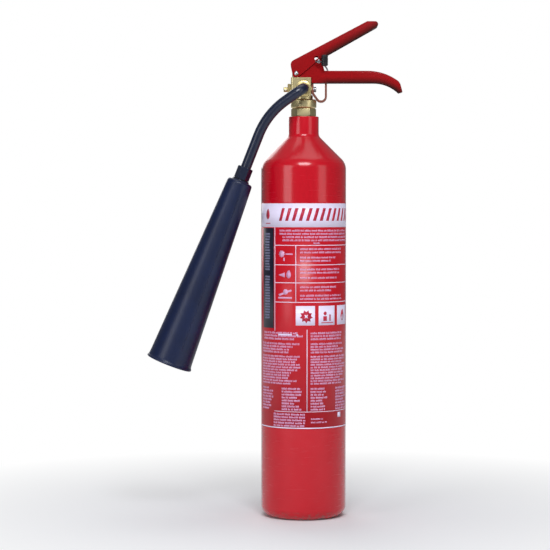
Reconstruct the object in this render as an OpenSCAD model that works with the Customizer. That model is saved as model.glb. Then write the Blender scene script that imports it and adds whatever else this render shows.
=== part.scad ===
// Portable carbon dioxide fire extinguisher: a steel bottle, a brass squeeze-grip valve and a
// discharge horn on a swivelling pipe. The origin is on the bottle's axis in its foot plane, +Z is
// up, +X runs out along the handles, and the horn hangs on the -X side in front of the bottle.

/* [Bottle] */
// Outside diameter of the bottle
bottle_d = 102; // [92:0.5:140]
// Height at which the straight wall ends and the shoulder begins
straight_h = 418; // [300:1:620]
// Thickness of the steel wall
wall_t = 3.2; // [2:0.1:5]
// Thickness of the base
base_t = 5; // [3:0.5:9]
// Radius from the foot up to the side wall
base_corner_r = 13; // [8:0.5:20]
// Height of the dished base at the middle
punt_h = 8; // [4:0.5:14]
// Width of the flat ring that the bottle stands on
foot_land_w = 4; // [2:0.5:8]
// Radius where the side wall turns into the shoulder
shoulder_r = 18; // [10:0.5:20]
// Slope of the shoulder above the horizontal
shoulder_angle = 45; // [35:1:55]
// Outside diameter of the neck
neck_d = 36.4; // [36:0.2:46]
// Radius where the shoulder runs into the neck
neck_blend_r = 8; // [4:0.5:12]
// Straight height of the neck
neck_h = 19.86; // [12:0.02:30]
// Outside diameter of the valve's thread
neck_thread_d = 25; // [24:0.5:28]

/* [Label] */
// Thickness of the wrapped label
label_t = 0.12; // [0.08:0.01:0.14]
// Distance from the floor up to the label
label_lift = 110; // [40:1:140]
// Distance from the label up to the shoulder
label_drop = 40; // [20:1:80]
// Angle of the label that wraps to the left of the front
label_left = 82; // [40:1:150]
// Angle of the label that wraps to the right of the front
label_right = 115; // [40:1:170]

/* [Valve] */
// Spanner size of the valve's base hexagon
valve_hex_af = 26; // [24:0.5:32]
// Height of the base hexagon
valve_hex_h = 10; // [6:0.5:16]
// Diameter of the round flange
valve_flange_d = 30.8; // [28:0.2:40]
// Height of the round flange
valve_flange_h = 10.6; // [6:0.2:14]
// Diameter of the waist under the block
valve_waist_d = 22; // [20:0.5:26]
// Height of the waist
valve_waist_h = 4; // [2:0.5:10]
// Height of the block
valve_block_h = 22; // [20:0.5:32]
// Width of the block from front to back
valve_block_w = 21; // [19:0.5:26]
// Reach of the block to the left of the axis
valve_block_left = 15.3; // [14:0.1:20]
// Reach of the block to the right of the axis
valve_block_right = 9.4; // [8.5:0.1:14]
// Diameter of the push rod
push_rod_d = 5; // [4:0.5:6]
// Bore of the gas way, and of the discharge pipe
gas_way_d = 8; // [5:0.5:9]
// Outside diameter of the dip tube
dip_tube_d = 10; // [8:0.5:12]
// Gap between the dip tube and the base
dip_gap = 5; // [2:0.5:12]
// Wire diameter of the valve spring
spring_wire_d = 1.2; // [0.8:0.1:1.5]

/* [Levers] */
// Diameter of the pin that the lever turns on
lever_pin_d = 4; // [3:0.5:6]
// Distance of that pin to the left of the bottle's axis
lever_pin_offset = 8.7; // [7.5:0.1:10]
// Thickness of the lever and handle sheet
sheet_t = 2; // [1.2:0.1:2.6]
// Width between the handle's flanges
handle_inner_w = 14.2; // [13:0.2:17]
// Angle of the lever above the horizontal at rest
lever_angle = 27.7; // [24:0.1:32]
// Travel of the lever when it is squeezed
lever_travel = 10; // [8:1:14]
// Length of the lever from its pin to its tip
lever_length = 114; // [90:1:140]
// Depth of the lever's flanges at the safety pin
lever_depth = 13.6; // [12:0.2:15]
// Length of the carry handle from the bottle's axis to its tip
handle_length = 118.5; // [95:0.5:150]
// Depth of the handle's flanges along the grip
handle_depth = 14.4; // [11:0.2:18]
// Diameter of the safety pin
safety_pin_d = 4.4; // [3:0.2:5]
// Outside diameter of the pull ring
pull_ring_d = 25; // [18:0.5:36]
// Wire diameter of the pull ring
pull_wire_d = 2; // [1.5:0.1:2.4]
// Inside width of the hanger loop
loop_w = 13.6; // [10:0.2:20]
// Thickness of the hanger loop's strip
loop_t = 2.5; // [1.5:0.1:4]
// Width of the hanger loop's strip
loop_strip_w = 12; // [8:0.5:13]

/* [Horn and pipe] */
// Outside diameter of the discharge pipe
pipe_d = 12.5; // [11:0.5:15]
// Distance of the horn's plane in front of the bottle's axis
horn_plane = 34; // [32:0.5:45]
// Radius of the elbow at the valve
elbow_r = 10; // [9:0.5:14]
// Slope of the pipe below the horizontal where it leaves the valve
pipe_drop = 35; // [25:1:40]
// Radius of the long sweep down to the horn
pipe_sweep_r = 90; // [40:5:120]
// Angle of the horn from the vertical
horn_tilt = 21.5; // [16:0.5:26]
// Distance from the bottle's side to the horn's axis at the top of the horn
horn_gap = 24; // [20:0.5:45]
// Distance of the horn's top below the shoulder
horn_drop = 14.6; // [5:0.2:40]
// Length of the horn
horn_length = 233; // [150:1:320]
// Diameter of the horn at its top
horn_top_d = 30.6; // [30:0.2:40]
// Diameter of the horn above the lip at its mouth
horn_mouth_d = 53; // [44:0.5:80]
// Thickness of the horn's wall
horn_wall = 2.2; // [1.5:0.1:4]
// Spanner size of the nut above the horn
horn_nut_af = 16; // [15:0.5:22]
// Length of the nut above the horn
horn_nut_h = 15; // [8:0.5:20]
// Wall at the flats of the nut that holds the pipe to the valve
union_nut_wall = 1.4; // [1.2:0.1:4]

/* [Hidden] */

$fn = 64;
eps = 0.01;         // overrun of a cut past the face that it opens
seat_gap = 0.02;    // gap round a piece that is screwed or pressed in
run_gap = 0.06;     // radial clearance round a shaft that turns or slides
free_gap = 0.4;     // clearance between sheets and shells that move past each other

// Bottle: the shoulder's cone touches both of its fillets
bottle_r = bottle_d / 2;
neck_r = neck_d / 2;
shoulder_x = bottle_r - shoulder_r;
cone_line = cos(shoulder_angle) * shoulder_x + sin(shoulder_angle) * straight_h + shoulder_r;
blend_x = neck_r + neck_blend_r;
blend_z = (cone_line + neck_blend_r - cos(shoulder_angle) * blend_x) / sin(shoulder_angle);
neck_top = blend_z + neck_h;
foot_r = bottle_r - base_corner_r;
punt_rim_r = foot_r - foot_land_w;
punt_r = (pow(punt_rim_r, 2) + pow(punt_h, 2)) / (2 * punt_h);
thread_r = neck_thread_d / 2;
thread_l = neck_h + 4.34;
o_ring_t = 2.4;

// Valve heights, from the neck upwards
flange_z = neck_top + valve_hex_h;
waist_z = flange_z + valve_flange_h;
block_z = waist_z + valve_waist_h;
block_top = block_z + valve_block_h;
outlet_z = block_top - 14;
seat_z = block_z - 1;
thread_end = neck_top - thread_l;
chamber_r = thread_r - 4.5;
rod_r = push_rod_d / 2;
orifice_r = rod_r + 1;
stem_seal_t = 1.7;
stem_seal_r = rod_r + 1.8;
gland_r = rod_r + 3;
gland_h = 5.6;
gland_z = block_top - gland_h;
seal_z = gland_z - stem_seal_t - 0.1;
retainer_h = 12;
retainer_top = thread_end + 0.5 + retainer_h;
tube_socket = 6;
plunger_r = chamber_r - 2;
plunger_h = 6;
disc_h = 3.95;
plunger_top = seat_z - 0.05 - disc_h;
spring_r = plunger_r - spring_wire_d / 2 - 0.2;
spring_turns = 7;
spring_steps = 14;
spring_sides = 7;

// Burst disc assembly on the left face
burst_hex_af = 12;
burst_hex_h = 4;
burst_cap_r = 3;
burst_cap_h = 4.8;
burst_thread_r = 4.5;
burst_depth = 5;
burst_disc_t = 0.3;
burst_gasket_t = 0.8;
burst_way_r = 1.2;
burst_way_x = -(orifice_r + burst_way_r + 1.8);

// Outlet on the front face, measured forwards from the axis
block_front = valve_block_w / 2;
gas_r = gas_way_d / 2;
pipe_r = pipe_d / 2;
spigot_r = pipe_r + 1.35;
spigot_end = block_front + 6;
seal_groove_r = (gas_r + spigot_r) / 2;
seal_t = 1.4;
collar_r = spigot_r - 0.3;
collar_t = 2.9;
nut_shoulder = spigot_end + collar_t + 0.2;
nut_front = nut_shoulder + 2.4;
nut_back = block_front + 0.5;

// Levers: the lever's own frame has its pin at the origin and its top edge level
pivot_x = -lever_pin_offset;
pivot_z = block_top + 5;
lever_pin_r = lever_pin_d / 2;
eye_r = 4.6;
heel_r = 6;
handle_outer_w = handle_inner_w + 2 * sheet_t;
lever_inner_w = handle_outer_w + 2 * free_gap;
lever_outer_w = lever_inner_w + 2 * sheet_t;
lever_top = 15.4;
lever_heel_u = 4;
lever_tip_depth = 11.2;
lever_tip_r = 3.6;
lever_tip_u = lever_length - lever_tip_r;
lever_tip_v = lever_top - lever_tip_depth + lever_tip_r;
lever_knee_u = 30.8;
lug_r = 5;
lug_w = handle_inner_w - 0.2;
handle_top = block_top + 8;
handle_under = handle_top - handle_depth;
handle_front_x = valve_block_right + 15.6;
grip_bend_r = 62;
grip_bend = 35.4;
knuckle_r = 10;
nose_angle = 75;
nose_l = 8.5;
nose_depth = 4.6;
handle_bend_x = handle_length - (grip_bend_r - knuckle_r) * sin(grip_bend)
    - knuckle_r * sin(nose_angle) - nose_l * cos(nose_angle);
handle_knuckle = [handle_bend_x, handle_top - grip_bend_r]
    + (grip_bend_r - knuckle_r) * [sin(grip_bend), cos(grip_bend)];
handle_nose = handle_knuckle + knuckle_r * [sin(nose_angle), cos(nose_angle)]
    + nose_l * [cos(nose_angle), -sin(nose_angle)];
handle_chin = handle_nose - nose_depth * [sin(nose_angle), cos(nose_angle)];
handle_sag_x = handle_bend_x + 8;
sag_w = handle_chin[0] - handle_sag_x;
sag_h = handle_under - handle_chin[1];
sag_r = (sag_w * sag_w + sag_h * sag_h) / (2 * sag_h);
sag_angle = asin(sag_w / sag_r);
cam_gap = 0.25;
dome_z = pivot_z - pivot_x * tan(lever_angle)
    + (lever_top - sheet_t - rod_r - cam_gap) / cos(lever_angle);

// Safety pin, just under the lever's flanges
safety_x = valve_block_right + 8.6;
safety_z = pivot_z + 13.5;
safety_r = safety_pin_d / 2;
safety_ear_r = safety_r + 2;
safety_tip = lever_outer_w / 2 + 6;
safety_tail = lever_outer_w / 2 + 9;
seal_hole_y = safety_tip - 2.3;
seal_hole_r = 0.8;
ring_hole_y = safety_tail - 2.5;
ring_hole_r = pull_wire_d / 2 + 0.3;
ring_r = (pull_ring_d - pull_wire_d) / 2;
notch_half_w = safety_r + free_gap;
seal_strap_r = seal_hole_r - 0.15;
seal_bead_r = 1.4;
seal_bead_l = 1.6;
seal_barrel_r = 4.2;
seal_barrel_h = 13;
seal_barrel_x = safety_r + seal_barrel_r + 0.6;
seal_barrel_lift = 1.2;
seal_barrel_y = 3 - seal_barrel_r;

// Hanger loop against the block's right face
loop_left = valve_block_right;
loop_right = loop_left + loop_w + 2 * loop_t;
loop_bend_r = 7;
loop_lean = 35;
loop_z = waist_z + loop_bend_r - 3.7;
screw_r = 2;
screw_reach = 4.8;
screw_head_r = 3.2;
screw_head_h = 2.2;
washer_t = 1;

// Discharge pipe: straight stub, elbow, straight run, long sweep, straight tail
bend_thinning = 0.02;
pipe_start = spigot_end + 0.05;
stub_l = horn_plane - elbow_r - pipe_start;
sweep_angle = 90 - horn_tilt - pipe_drop;
horn_top_x = bottle_r + horn_gap;
horn_fall = outlet_z - (straight_h - horn_drop);
reach_sum = cos(pipe_drop + horn_tilt);
corner_run = (horn_top_x * cos(horn_tilt) - horn_fall * sin(horn_tilt)) / reach_sum;
corner_tail = (horn_fall * cos(pipe_drop) - horn_top_x * sin(pipe_drop)) / reach_sum;
sweep_r = min(pipe_sweep_r, (corner_run - elbow_r - 2) / tan(sweep_angle / 2));
sweep_l = sweep_r * tan(sweep_angle / 2);
run_l = corner_run - elbow_r - sweep_l;
tail_l = corner_tail - sweep_l;

// Horn, measured down its axis from its flat top
horn_boss_r = 10.5;
horn_boss_h = 1.5;
horn_corner_r = 3;
horn_top_t = 4;
horn_lip_t = 3;
horn_lip_out = 1.4;
pipe_into_horn = 12;
horn_washer_t = 1;
jet_af = 17;
jet_l = 14;
jet_hole_r = 1.5;

// ---------- shapes that several pieces use ----------

// Hexagonal bar along +Z, with the corners turned off at both ends
module hex_bar(af, h) {
    corner = af / (2 * cos(30));
    slope = (corner - af / 2) / 2 + 0.5;
    intersection() {
        cylinder(r = corner, h = h, $fn = 6);
        rotate_extrude()
            polygon([
                [0, 0], [af / 2, 0], [corner + 1, slope], [corner + 1, h - slope], [af / 2, h], [0, h]
            ]);
    }
}

// Cylinder along +Z with a chamfer at each end
module chamfered(r, h, c) {
    rotate_extrude()
        polygon([[0, 0], [r - c, 0], [r, c], [r, h - c], [r - c, h], [0, h]]);
}

// Closed ring of round wire about +Z
module wire_ring(r, wire_r) {
    rotate_extrude()
        translate([r, 0])
            circle(r = wire_r, $fn = 32);
}

// Points of an arc about c, from angle a0 to angle a1
function arc(c, r, a0, a1, steps = 10) = [
    for (i = [0:steps])
        let (a = a0 + (a1 - a0) * i / steps)
            [c[0] + r * cos(a), c[1] + r * sin(a)]
];

// Bar of rectangular section with rounded upright edges, centred on the X and Y axes
module rounded_block(w, d, h, r) {
    translate([-w / 2 + r, -d / 2, 0])
        cube([w - 2 * r, d, h]);
    translate([-w / 2, -d / 2 + r, 0])
        cube([w, d - 2 * r, h]);
    for (sx = [-1, 1], sy = [-1, 1])
        translate([sx * (w / 2 - r), sy * (d / 2 - r), 0])
            cylinder(r = r, h = h);
}

// Turns a drawing in the XZ plane into a plate of the given width about Y = 0
module plate(w) {
    translate([0, w / 2, 0])
        rotate([90, 0, 0])
            linear_extrude(height = w)
                children();
}

// ---------- bottle ----------

// Half outline of the bottle; inset is 0 for the outside and the wall for the inside
module bottle_outline(inset, floor_z) {
    c = cos(shoulder_angle);
    s = sin(shoulder_angle);
    difference() {
        union() {
            polygon([
                [0, floor_z], [foot_r, floor_z], [bottle_r - inset, base_corner_r],
                [bottle_r - inset, straight_h],
                [shoulder_x + (shoulder_r - inset) * c, straight_h + (shoulder_r - inset) * s],
                [blend_x - (neck_blend_r + inset) * c, blend_z - (neck_blend_r + inset) * s],
                [neck_r - inset, blend_z], [neck_r - inset, neck_top], [0, neck_top]
            ]);
            translate([shoulder_x, straight_h])
                circle(r = shoulder_r - inset);
            intersection() {
                translate([foot_r, base_corner_r])
                    circle(r = base_corner_r - inset);
                translate([0, floor_z])
                    square([bottle_r, base_corner_r]);
            }
        }
        translate([blend_x, blend_z])
            circle(r = neck_blend_r + inset);
    }
}

module bottle() {
    color([0.72, 0.10, 0.13])
        difference() {
            rotate_extrude($fn = 128)
                bottle_outline(0, 0);
            rotate_extrude($fn = 128)
                intersection() {
                    bottle_outline(wall_t, wall_t);
                    square([bottle_r, thread_end - 1]);
                    difference() {
                        square([bottle_r, neck_top]);
                        translate([0, punt_h - punt_r])
                            circle(r = punt_r + base_t, $fn = 128);
                    }
                }
            translate([0, 0, punt_h - punt_r])
                sphere(r = punt_r, $fn = 128);
            translate([0, 0, thread_end - 1 - eps])
                cylinder(r = thread_r + seat_gap, h = neck_top);
            translate([0, 0, neck_top - o_ring_t - seat_gap])
                cylinder(r = thread_r + o_ring_t + 0.4, h = neck_top);
        }
}

module label() {
    color([0.80, 0.25, 0.28])
        rotate([0, 0, 270 - label_left])
            rotate_extrude(angle = label_left + label_right, $fn = 128)
                translate([bottle_r, label_lift])
                    square([label_t, straight_h - label_drop - label_lift]);
}

module neck_o_ring() {
    color([0.08, 0.08, 0.08])
        translate([0, 0, neck_top - o_ring_t / 2 - seat_gap])
            wire_ring(thread_r + o_ring_t / 2 + 0.1, o_ring_t / 2);
}

// ---------- valve ----------

module valve_outside() {
    translate([0, 0, thread_end])
        chamfered(thread_r, thread_l + 1, 1);
    translate([0, 0, neck_top])
        hex_bar(valve_hex_af, valve_hex_h);
    translate([0, 0, flange_z])
        chamfered(valve_flange_d / 2, valve_flange_h, 1.4);
    translate([0, 0, waist_z - 1])
        cylinder(d = valve_waist_d, h = valve_waist_h + 2);
    translate([(valve_block_right - valve_block_left) / 2, 0, block_z])
        rounded_block(valve_block_left + valve_block_right, valve_block_w, valve_block_h, 2.5);
    translate([0, 0, outlet_z])
        rotate([90, 0, 0])
            chamfered(spigot_r, spigot_end, 0.6);
    plate(lug_w)
        union() {
            translate([pivot_x, pivot_z])
                circle(r = lug_r);
            translate([pivot_x - lug_r, block_top - 1])
                square([2 * lug_r, pivot_z - block_top + 1]);
        }
}

module valve_body() {
    color([0.80, 0.70, 0.42])
        difference() {
            valve_outside();
            // lower chamber, seat orifice, seal pocket and gland thread
            translate([0, 0, thread_end - 1])
                cylinder(r = chamber_r, h = seat_z - thread_end + 1);
            translate([0, 0, seat_z - eps])
                cylinder(r = orifice_r, h = outlet_z + gas_r + 1 - seat_z);
            translate([0, 0, outlet_z])
                cylinder(r = rod_r + run_gap, h = block_top);
            translate([0, 0, seal_z])
                cylinder(r = stem_seal_r, h = block_top);
            translate([0, 0, gland_z])
                cylinder(r = gland_r + seat_gap, h = block_top);
            // outlet way and its face seal groove
            translate([0, 0, outlet_z])
                rotate([90, 0, 0])
                    cylinder(r = gas_r, h = spigot_end + 1);
            translate([0, -spigot_end + seal_t, outlet_z])
                rotate([90, 0, 0])
                    difference() {
                        cylinder(r = seal_groove_r + seal_t / 2 + 0.1, h = seal_t + 1);
                        translate([0, 0, -1])
                            cylinder(r = seal_groove_r - seal_t / 2 - 0.1, h = seal_t + 3);
                    }
            // way from the chamber to the burst disc
            translate([burst_way_x, 0, seat_z - 2])
                cylinder(r = burst_way_r, h = outlet_z - seat_z + 2, $fn = 32);
            translate([burst_way_x, 0, outlet_z])
                rotate([0, -90, 0])
                    cylinder(r = burst_way_r, h = valve_block_left, $fn = 32);
            translate([-valve_block_left + burst_depth, 0, outlet_z])
                rotate([0, -90, 0])
                    cylinder(r = burst_thread_r + seat_gap, h = burst_depth + 1);
            // lever pin hole and handle screw hole
            translate([pivot_x, lug_w, pivot_z])
                rotate([90, 0, 0])
                    cylinder(r = lever_pin_r + seat_gap, h = 2 * lug_w);
            translate([valve_block_right - screw_reach, 0, outlet_z])
                rotate([0, 90, 0])
                    cylinder(r = screw_r + seat_gap, h = screw_reach + 1);
        }
}

module gland_nut() {
    color([0.78, 0.68, 0.40])
        translate([0, 0, gland_z])
            difference() {
                cylinder(r = gland_r, h = gland_h);
                translate([0, 0, -1])
                    cylinder(r = rod_r + run_gap, h = gland_h + 2);
                translate([-gland_r - 1, -0.6, gland_h - 1.5])
                    cube([2 * gland_r + 2, 1.2, 2]);
            }
}

module stem_o_ring() {
    color([0.08, 0.08, 0.08])
        translate([0, 0, seal_z + stem_seal_t / 2 + 0.05])
            wire_ring(rod_r + run_gap + stem_seal_t / 2, stem_seal_t / 2);
}

module push_rod() {
    color([0.75, 0.76, 0.78]) {
        translate([0, 0, plunger_top + disc_h])
            cylinder(r = rod_r, h = dome_z - plunger_top - disc_h);
        translate([0, 0, dome_z])
            sphere(r = rod_r);
    }
}

module seat_disc() {
    color([0.92, 0.90, 0.84])
        translate([0, 0, plunger_top])
            chamfered(plunger_r - 0.8, disc_h, 0.4);
}

module seat_plunger() {
    color([0.78, 0.68, 0.40])
        translate([0, 0, plunger_top - plunger_h])
            difference() {
                union() {
                    chamfered(plunger_r, plunger_h, 0.5);
                    translate([0, 0, -2])
                        cylinder(r = spring_r - spring_wire_d / 2 - 0.6, h = 2.5);
                }
                for (a = [0:90:270])
                    rotate([0, 0, a])
                        translate([plunger_r, 0, -1])
                            cylinder(r = 1.2, h = plunger_h + 2, $fn = 24);
            }
}

// One ring of the spring wire's section, at turn t of the coil
function spring_ring(t, z) = [
    for (k = [0:spring_sides - 1])
        let (a = 360 * k / spring_sides, r = spring_r + spring_wire_d / 2 * cos(a))
            [r * cos(360 * t), r * sin(360 * t), z + spring_wire_d / 2 * sin(a)]
];

module valve_spring() {
    bottom = retainer_top + spring_wire_d / 2 + 0.05;
    top = plunger_top - plunger_h - spring_wire_d / 2 - 0.05;
    rings = spring_turns * spring_steps;
    // the first and last turns lie closed and the turns between them share the rest of the height
    inner = top - bottom - 2 * spring_wire_d * 1.1;
    points = [
        for (i = [0:rings])
            let (
                t = i / spring_steps,
                lift = spring_wire_d * 1.1 * (min(t, 1) + max(0, t - spring_turns + 1)),
                body = inner * min(1, max(0, (t - 1) / (spring_turns - 2)))
            )
                each spring_ring(t, bottom + lift + body)
    ];
    sides = [
        for (i = [0:rings - 1], k = [0:spring_sides - 1])
            let (a = i * spring_sides, n = (k + 1) % spring_sides)
                [a + k, a + spring_sides + k, a + spring_sides + n, a + n]
    ];
    first = [for (k = [0:spring_sides - 1]) k];
    last = [for (k = [spring_sides - 1:-1:0]) rings * spring_sides + k];
    color([0.70, 0.72, 0.74])
        polyhedron(points = points, faces = concat([first], sides, [last]));
}

module spring_retainer() {
    color([0.78, 0.68, 0.40])
        translate([0, 0, retainer_top - retainer_h])
            difference() {
                chamfered(chamber_r - seat_gap, retainer_h, 0.4);
                translate([0, 0, -1])
                    cylinder(r = dip_tube_d / 2 + seat_gap, h = tube_socket + 1);
                cylinder(r = dip_tube_d / 2 - 1.5, h = retainer_h + 1);
            }
}

module dip_tube() {
    foot = punt_h + base_t + dip_gap;
    top = retainer_top - retainer_h + tube_socket;
    tube_r = dip_tube_d / 2;
    color([0.80, 0.81, 0.83])
        difference() {
            translate([0, 0, foot])
                cylinder(r = tube_r, h = top - foot);
            translate([0, 0, foot - 1])
                cylinder(r = tube_r - 1, h = top - foot + 2);
            // the foot is cut at 45 degrees
            translate([-tube_r, 0, foot])
                rotate([0, -45, 0])
                    translate([0, -dip_tube_d, -3 * dip_tube_d])
                        cube([3 * dip_tube_d, 2 * dip_tube_d, 3 * dip_tube_d]);
        }
}

// Local frame of the burst disc assembly: +Z points out of the block's left face
module burst_frame() {
    translate([-valve_block_left + burst_depth, 0, outlet_z])
        rotate([0, -90, 0])
            children();
}

module burst_disc() {
    color([0.85, 0.86, 0.88])
        burst_frame()
            cylinder(r = burst_thread_r - 0.2, h = burst_disc_t);
}

module burst_disc_gasket() {
    color([0.72, 0.42, 0.25])
        burst_frame()
            translate([0, 0, burst_disc_t])
                difference() {
                    cylinder(r = burst_thread_r - 0.2, h = burst_gasket_t);
                    translate([0, 0, -1])
                        cylinder(r = 2.2, h = burst_gasket_t + 2);
                }
}

module burst_disc_nut() {
    start = burst_disc_t + burst_gasket_t;
    cap_z = burst_depth + burst_hex_h;
    color([0.74, 0.64, 0.38])
        burst_frame()
            difference() {
                union() {
                    translate([0, 0, start])
                        cylinder(r = burst_thread_r, h = burst_depth - start + 0.5);
                    translate([0, 0, burst_depth])
                        hex_bar(burst_hex_af, burst_hex_h);
                    translate([0, 0, cap_z - 0.5])
                        chamfered(burst_cap_r, burst_cap_h + 0.5, 0.5);
                }
                translate([0, 0, start - 1])
                    cylinder(r = 1.8, h = cap_z + burst_cap_h - start - 0.6, $fn = 32);
                // vents through the cap, opposite each other so that the escaping gas has no push
                for (a = [0, 90])
                    rotate([0, 0, a])
                        translate([0, burst_cap_r + 1, cap_z + burst_cap_h / 2])
                            rotate([90, 0, 0])
                                cylinder(r = 0.9, h = 2 * burst_cap_r + 2, $fn = 24);
            }
}

// ---------- levers, handle and loop ----------

// Top edge of the lever's tip: it bends to lie level when the lever is at rest, then rolls under;
// inset is 0 outside and the sheet inside
function lever_tip_line(inset) =
    let (
        r = lever_tip_r - inset,
        rise = lever_top - inset - lever_tip_v - r * cos(lever_angle),
        crest = lever_tip_u + r * sin(lever_angle) - rise / tan(lever_angle)
    )
        concat(
            [[crest, lever_top - inset]],
            arc([lever_tip_u, lever_tip_v], r, 90 - lever_angle, -90)
        );

// Side view of the lever in its own frame: pin at the origin, top edge level
module lever_side() {
    knee_v = lever_top - lever_depth;
    heel_v = lever_top - heel_r;
    heel = atan2(heel_v, lever_heel_u) + acos((eye_r - heel_r) / norm([lever_heel_u, heel_v]));
    polygon(concat(
        arc([0, 0], eye_r, 290 - 360, heel - 360),
        arc([lever_heel_u, heel_v], heel_r, heel, 90),
        lever_tip_line(0),
        [[lever_knee_u, knee_v]]
    ));
}

// Room inside the lever's channel: everything under the top sheet and behind the rolled tip
module lever_inside() {
    polygon(concat(
        lever_tip_line(sheet_t),
        [
            [lever_tip_u - 6, lever_tip_v - lever_tip_r + sheet_t],
            [lever_tip_u - 6, -2 * heel_r], [-2 * heel_r, -2 * heel_r],
            [-2 * heel_r, lever_top - sheet_t]
        ]
    ));
}

// Place of the safety pin in the lever's frame after it has turned by some part of its travel
function pin_in_lever(turn) =
    let (
        dx = safety_x - pivot_x,
        dz = safety_z - pivot_z,
        a = lever_angle - turn
    )
        [dx * cos(a) + dz * sin(a), dz * cos(a) - dx * sin(a)];

// Open notch in the flanges, along the path of the safety pin
module lever_notch() {
    top = pin_in_lever(lever_travel);
    foot = pin_in_lever(0);
    translate([top[0], top[1]])
        circle(r = notch_half_w);
    polygon([
        [foot[0] - notch_half_w, foot[1] - 4], [foot[0] + notch_half_w, foot[1] - 4],
        [foot[0] + notch_half_w, foot[1]], [top[0] + notch_half_w, top[1]],
        [top[0] - notch_half_w, top[1]], [foot[0] - notch_half_w, foot[1]]
    ]);
}

module lever_frame() {
    translate([pivot_x, pivot_z])
        rotate(lever_angle)
            children();
}

module squeeze_lever() {
    color([0.62, 0.03, 0.06])
        difference() {
            plate(lever_outer_w)
                lever_frame()
                    lever_side();
            plate(lever_inner_w)
                lever_frame()
                    lever_inside();
            plate(lever_outer_w + 2)
                lever_frame()
                    lever_notch();
            translate([pivot_x, lever_outer_w, pivot_z])
                rotate([90, 0, 0])
                    cylinder(r = lever_pin_r + run_gap, h = 2 * lever_outer_w);
        }
}

// Top edge of the handle from its first bend to its nose; inset is 0 outside, the sheet inside,
// and the nose may run past its end
function handle_top_line(inset, past) = concat(
    arc([handle_bend_x, handle_top - grip_bend_r], grip_bend_r - inset, 90, 90 - grip_bend),
    arc(handle_knuckle, knuckle_r - inset, 90 - grip_bend, 90 - nose_angle, 6),
    [handle_nose + [
        past * cos(nose_angle) - inset * sin(nose_angle),
        -past * sin(nose_angle) - inset * cos(nose_angle)
    ]]
);

// Side view of the carry handle, with the ears that carry the safety pin
module handle_side() {
    clear_x = valve_block_right + 0.3;
    polygon(concat(
        [[clear_x, block_top]],
        arc([pivot_x, pivot_z], lug_r, 270, 90),
        arc([safety_x, safety_z], safety_ear_r, 140, 0),
        [[handle_front_x, handle_top]],
        handle_top_line(0, 0),
        arc([handle_sag_x, handle_under - sag_r], sag_r, 90 - sag_angle, 90),
        [[clear_x, handle_under]]
    ));
}

// Room between the handle's flanges, open below and, back from the ears, above
module handle_inside() {
    back = pivot_x - 2 * lug_r;
    floor_z = handle_under - 2 * handle_depth;
    polygon(concat(
        [
            [back, floor_z], [back, safety_z + 2 * safety_ear_r],
            [valve_block_right, safety_z + 2 * safety_ear_r],
            [valve_block_right, handle_top - sheet_t]
        ],
        handle_top_line(sheet_t, 2 * handle_depth),
        [[handle_bend_x, floor_z]]
    ));
}

module carry_handle() {
    color([0.62, 0.03, 0.06])
        difference() {
            plate(handle_outer_w)
                handle_side();
            plate(handle_inner_w)
                handle_inside();
            // over the block and behind the handle's own web, the ears stand apart
            translate([valve_block_right - 1, -handle_inner_w / 2, handle_top])
                cube([handle_length, handle_inner_w, 4 * safety_ear_r]);
            translate([pivot_x, handle_outer_w, pivot_z])
                rotate([90, 0, 0])
                    cylinder(r = lever_pin_r + seat_gap, h = 2 * handle_outer_w);
            translate([safety_x, handle_outer_w, safety_z])
                rotate([90, 0, 0])
                    cylinder(r = safety_r + run_gap, h = 2 * handle_outer_w);
        }
}

module lever_pin() {
    head_r = lever_pin_r + 0.8;
    half = lever_outer_w / 2 + free_gap;
    color([0.80, 0.81, 0.84])
        translate([pivot_x, 0, pivot_z]) {
            rotate([90, 0, 0])
                translate([0, 0, -half - 0.5])
                    cylinder(r = lever_pin_r, h = 2 * half + 1);
            for (s = [-1, 1])
                rotate([90 * s, 0, 0])
                    translate([0, 0, half])
                        intersection() {
                            translate([0, 0, 1.6 - head_r * 1.15])
                                sphere(r = head_r * 1.15);
                            cylinder(r = head_r, h = 3);
                        }
        }
}

// Outline of the loop: down the block's face, slanting clear of the flange, round and up again;
// inset is 0 outside and the strip's thickness inside
module loop_outline(inset, top) {
    centre = [loop_right - loop_bend_r, loop_z];
    r = loop_bend_r - inset;
    slant = centre + r * [-cos(loop_lean), -sin(loop_lean)];
    left = loop_left + inset;
    polygon(concat(
        [[left, top], [left, slant[1] + (slant[0] - left) / tan(loop_lean)]],
        arc(centre, r, 180 + loop_lean, 360),
        [[loop_right - inset, top]]
    ));
}

module hanger_loop() {
    color([0.45, 0.38, 0.36])
        difference() {
            plate(loop_strip_w)
                difference() {
                    loop_outline(0, handle_top - sheet_t);
                    loop_outline(loop_t, handle_top);
                }
            translate([loop_left - 1, 0, outlet_z])
                rotate([0, 90, 0])
                    cylinder(r = screw_r + 0.2, h = loop_t + 2);
        }
}

// Local frame of the handle screw: +Z points out of the block's right face
module screw_frame() {
    translate([loop_left + loop_t, 0, outlet_z])
        rotate([0, 90, 0])
            children();
}

module handle_screw_washer() {
    color([0.75, 0.76, 0.78])
        screw_frame()
            difference() {
                chamfered(screw_head_r + 0.3, washer_t, 0.15);
                translate([0, 0, -1])
                    cylinder(r = screw_r + 0.15, h = washer_t + 2);
            }
}

module handle_screw() {
    color([0.75, 0.76, 0.78])
        screw_frame()
            difference() {
                union() {
                    translate([0, 0, -loop_t - screw_reach + 0.3])
                        cylinder(r = screw_r, h = loop_t + screw_reach + washer_t);
                    translate([0, 0, washer_t])
                        chamfered(screw_head_r, screw_head_h, 0.6);
                }
                translate([0, 0, washer_t + 0.7])
                    cylinder(r = 1.5, h = screw_head_h, $fn = 6);
            }
}

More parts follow.
